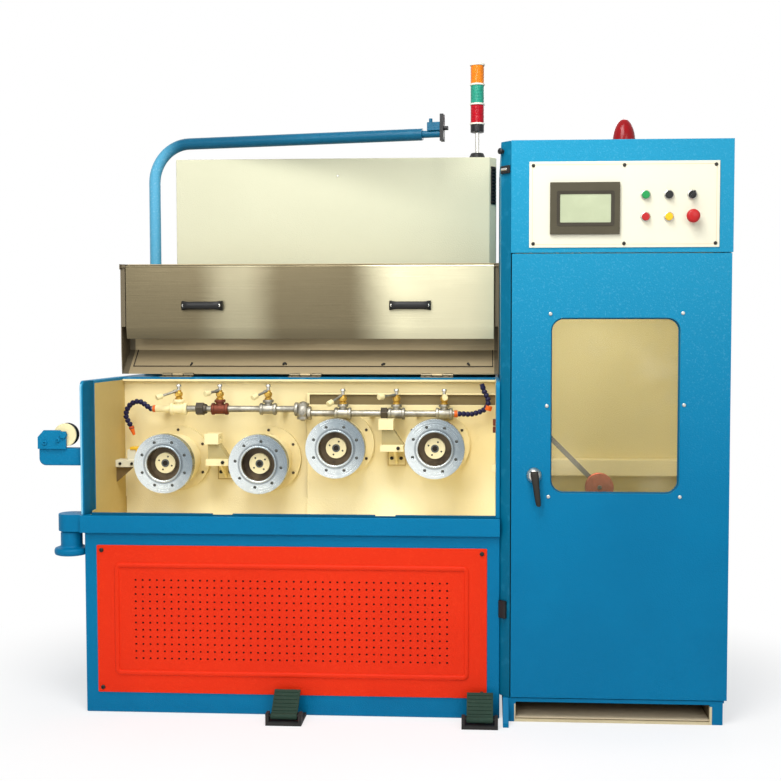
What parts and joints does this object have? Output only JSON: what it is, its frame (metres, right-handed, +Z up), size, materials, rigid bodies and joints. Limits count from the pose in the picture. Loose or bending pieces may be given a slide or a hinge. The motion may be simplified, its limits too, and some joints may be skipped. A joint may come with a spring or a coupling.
{
  "type": "wire drawing machine",
  "caption": "Wire drawing bench with capstans in a lidded tub, spray pipes and die holders, beside a spooler cabinet with a windowed door, operator panel and signal tower.",
  "frame": {"origin": "on the floor, under the centre of the overall box", "axes": "+X to the operator's right along the machine, +Y from the operator to the back, +Z up"},
  "size_m": [2.181, 0.924, 2.172],
  "materials": {
    "blue_paint": "gloss",
    "red_paint": "gloss",
    "cream_paint": "satin",
    "stainless": "brushed",
    "bright_aluminium": "turned",
    "grey_paint": "satin",
    "zinc_pipe": "galvanised",
    "brass": "bright",
    "black_plastic": "matte",
    "hose_blue": "matte",
    "white_plastic": "gloss",
    "panel_white": "satin",
    "dark_plastic": "matte",
    "chrome": "polished",
    "green_cast": "satin",
    "red_lens": "gloss",
    "green_lens": "gloss",
    "amber_lens": "gloss",
    "window_glass": "clear",
    "copper_red": "satin"
  },
  "bodies": {
    "machine": {"base_housing": "blue_paint", "bearing_flanges": "cream_paint", "bearing_plate": "cream_paint", "bed_plate": "blue_paint", "cabinet_back": "blue_paint", "cabinet_floor": "cream_paint", "cabinet_ledge": "cream_paint", "cabinet_left_side": "blue_paint", "cabinet_right_side": "blue_paint", "cabinet_top": "blue_paint", "control_buttons": "white_plastic", "control_head": "blue_paint", "control_plate": "panel_white", "coolant_hose_left": "hose_blue", "coolant_hose_right": "hose_blue", "dancer_bracket": "zinc_pipe", "die_holder_left": "cream_paint", "die_holder_right": "cream_paint", "electrical_box": "grey_paint", "front_panel": "red_paint", "gearbox_housing": "blue_paint", "gooseneck_pipe": "blue_paint", "inlet_arm": "blue_paint", "inlet_die_block": "cream_paint", "inlet_plate": "blue_paint", "lid_hinges": "stainless", "operator_panel": "dark_plastic", "pedal_bases": "black_plastic", "pivot_boss": "blue_paint", "plinth": "blue_paint", "spray_manifold": "zinc_pipe", "spray_valves": "brass", "tower_amber_lens": "amber_lens", "tower_green_lens": "green_lens", "tower_red_lens": "red_lens", "tower_rings": "white_plastic", "tower_stem": "black_plastic", "tub_back_wall": "cream_paint", "tub_front_lip": "cream_paint", "tub_left_wall": "blue_paint", "tub_right_wall": "blue_paint", "valve_levers": "white_plastic", "warning_lamp": "red_lens", "wire_guide": "black_plastic"},
    "capstan_1": {"capstan_1": "bright_aluminium"},
    "capstan_2": {"capstan_2": "bright_aluminium"},
    "capstan_3": {"capstan_3": "bright_aluminium"},
    "capstan_4": {"capstan_4": "bright_aluminium"},
    "lid": {"lid_hood": "stainless"},
    "flap": {"lid_flap": "stainless", "lid_handles": "black_plastic"},
    "inlet_roller": {"inlet_roller": "cream_paint"},
    "door": {"door_panel": "blue_paint", "door_glass": "window_glass"},
    "lock_lever": {"door_lock": "chrome"},
    "dancer": {"dancer_arm": "zinc_pipe"},
    "dancer_pulley": {"dancer_pulley": "copper_red"},
    "treadle_1": {"pedal_treadle_1": "green_cast"},
    "treadle_2": {"pedal_treadle_2": "green_cast"}
  },
  "joints": [
    {"name": "capstan_1_spin", "type": "hinge", "parent": "machine", "child": "capstan_1", "pos_m": [-0.72256, -0.208, 0.78309], "axis": [0, 1, 0], "continuous": true},
    {"name": "capstan_2_spin", "type": "hinge", "parent": "machine", "child": "capstan_2", "pos_m": [-0.40664, -0.208, 0.78309], "axis": [0, 1, 0], "continuous": true},
    {"name": "capstan_3_spin", "type": "hinge", "parent": "machine", "child": "capstan_3", "pos_m": [-0.1515, -0.208, 0.83616], "axis": [0, 1, 0], "continuous": true},
    {"name": "capstan_4_spin", "type": "hinge", "parent": "machine", "child": "capstan_4", "pos_m": [0.17455, -0.208, 0.83616], "axis": [0, 1, 0], "continuous": true},
    {"name": "lid_hinge", "type": "hinge", "parent": "machine", "child": "lid", "pos_m": [0, 0.002, 1.071], "axis": [1, 0, 0], "range_deg": [0, 90]},
    {"name": "flap_hinge", "type": "hinge", "parent": "lid", "child": "flap", "pos_m": [0, 0.002, 1.443], "axis": [1, 0, 0], "range_deg": [-90, 0]},
    {"name": "inlet_roller_spin", "type": "hinge", "parent": "machine", "child": "inlet_roller", "pos_m": [-1.0065, -0.328, 0.88809], "axis": [0, 1, 0], "continuous": true},
    {"name": "door_hinge", "type": "hinge", "parent": "machine", "child": "door", "pos_m": [1.0765, -0.371, 0.078], "axis": [0, 0, 1], "range_deg": [0, 105]},
    {"name": "door_lock_turn", "type": "hinge", "parent": "door", "child": "lock_lever", "pos_m": [0.49053, -0.382, 0.77495], "axis": [0, 1, 0], "range_deg": [-90, 0]},
    {"name": "dancer_pivot", "type": "hinge", "parent": "machine", "child": "dancer", "pos_m": [0.4785, -0.138, 0.94498], "axis": [0, 1, 0], "range_deg": [-20, 15], "stiffness_Nm_per_rad": 60, "springref_deg": -2.58},
    {"name": "dancer_pulley_spin", "type": "hinge", "parent": "dancer", "child": "dancer_pulley", "pos_m": [0.71184, -0.138, 0.71163], "axis": [0, 1, 0], "continuous": true},
    {"name": "pedal_1_press", "type": "hinge", "parent": "machine", "child": "treadle_1", "pos_m": [-0.28162, -0.446, 0.026], "axis": [1, 0, 0], "range_deg": [-12, 0], "stiffness_Nm_per_rad": 4, "springref_deg": 8.59},
    {"name": "pedal_2_press", "type": "hinge", "parent": "machine", "child": "treadle_2", "pos_m": [0.3255, -0.446, 0.026], "axis": [1, 0, 0], "range_deg": [-12, 0], "stiffness_Nm_per_rad": 4, "springref_deg": 8.59}
  ],
  "couplings": [
    {"joint": "flap_hinge", "follows": "lid_hinge", "ratio": -1}
  ]
}
